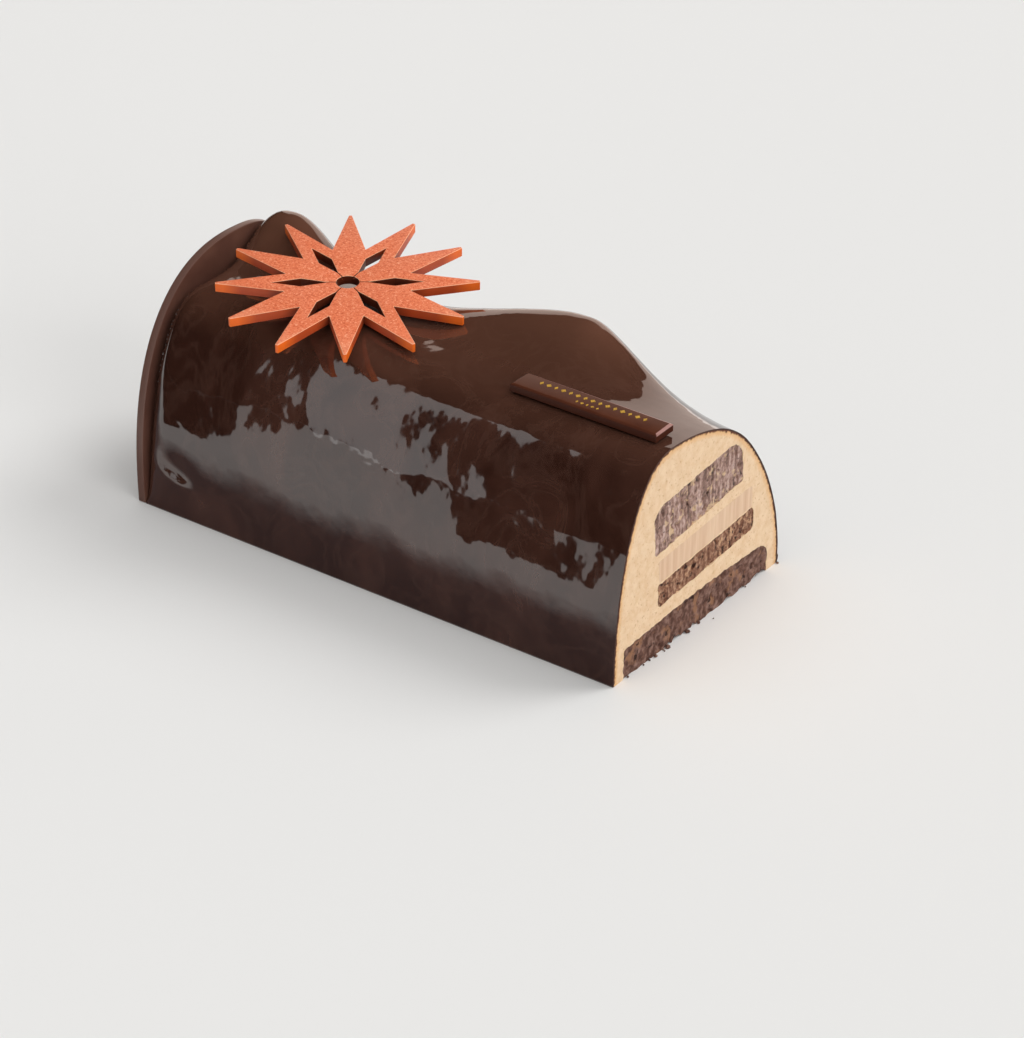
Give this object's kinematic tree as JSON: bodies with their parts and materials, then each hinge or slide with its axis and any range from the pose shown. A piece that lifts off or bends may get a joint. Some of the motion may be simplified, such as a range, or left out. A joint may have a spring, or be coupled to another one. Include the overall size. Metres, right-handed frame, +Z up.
{
  "type": "yule log cake",
  "caption": "Glazed mousse log cake, cut at one end to show its layers, with a wavy ridge, an arched end disc, a star and a small bare bar.",
  "frame": {"origin": "middle of the underside, on the surface the cake stands on", "axes": "+X along the log towards the cut face, +Z up, -Y towards the long side that faces the viewer"},
  "size_m": [0.188, 0.09, 0.0838],
  "materials": {
    "dark_glaze": "mirror-gloss chocolate glaze, very dark brown",
    "mousse": "matte cream mousse with fine pores",
    "nut_crunch": "dark crunchy insert with nut bits, slightly moist",
    "caramel": "smooth caramel cream with knife streaks",
    "sponge": "open-pored cocoa sponge",
    "biscuit": "rough baked cocoa biscuit",
    "disc_chocolate": "satin dark chocolate",
    "orange_chocolate": "coral-orange tinted chocolate with a fine grain",
    "bar_chocolate": "tempered chocolate with a soft shine"
  },
  "bodies": {
    "root": {"glaze_coat": "dark_glaze", "mousse_body": "mousse", "nut_crunch_insert": "nut_crunch", "caramel_layer": "caramel", "sponge_layer": "sponge", "biscuit_base": "biscuit", "end_disc": "disc_chocolate", "star_decoration": "orange_chocolate", "name_bar": "bar_chocolate"}
  },
  "joints": []
}
